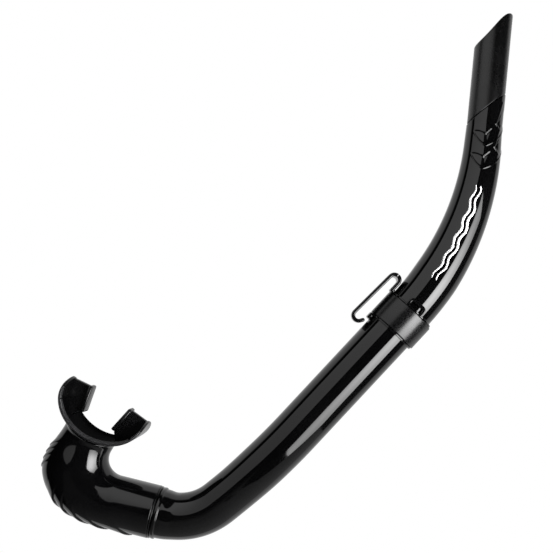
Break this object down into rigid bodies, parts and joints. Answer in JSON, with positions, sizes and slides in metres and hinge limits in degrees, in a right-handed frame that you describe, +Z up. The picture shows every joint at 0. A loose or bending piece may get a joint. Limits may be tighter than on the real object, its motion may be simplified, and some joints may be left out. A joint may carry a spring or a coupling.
{
  "type": "snorkel tube",
  "caption": "J-shaped snorkel: curved breathing tube with soft slanted tip, swivelling silicone elbow with bite mouthpiece, and a sliding clip with spring hook.",
  "frame": {"origin": "middle of the bite, between the two bite tabs of the mouthpiece, on the plane of symmetry", "axes": "+Z up, towards the open top of the tube; +X from the mouthpiece towards the tube; +Y through the width, square to the plane that the airway lies in"},
  "size_m": [0.2929, 0.0422, 0.3264],
  "materials": {
    "barrel_gloss": "high gloss black",
    "tip_matte": "fine matte black",
    "elbow_silicone": "glossy black silicone",
    "ring_plastic": "black",
    "bite_silicone": "satin black silicone",
    "clip_gloss": "gloss black",
    "band_matte": "satin black"
  },
  "bodies": {
    "tube": {"barrel_tube": "barrel_gloss", "top_tip": "tip_matte"},
    "mouthpiece": {"mouthpiece_elbow": "elbow_silicone", "swivel_ring": "ring_plastic", "bite_mouthpiece": "bite_silicone"},
    "band": {"keeper_band": "band_matte"},
    "clip": {"clip_ring": "clip_gloss"},
    "hook": {"clip_hook": "clip_gloss"}
  },
  "joints": [
    {"name": "mouthpiece_turn", "type": "hinge", "parent": "tube", "child": "mouthpiece", "pos_m": [0.02841, 0, -0.0709], "axis": [0.9703, 0, -0.2419], "range_deg": [-45, 45]},
    {"name": "keeper_slide", "type": "slide", "parent": "tube", "child": "band", "axis": [0.682, 0, 0.7314], "range_m": [-0.08, 0.004]},
    {"name": "keeper_turn", "type": "hinge", "parent": "band", "child": "clip", "pos_m": [0.18033, 0, 0.04909], "axis": [0.682, 0, 0.7314], "continuous": true},
    {"name": "hook_flex", "type": "hinge", "parent": "clip", "child": "hook", "pos_m": [0.1792, 0, 0.07735], "axis": [0, 1, 0], "range_deg": [0, 25], "stiffness_Nm_per_rad": 0.32}
  ]
}
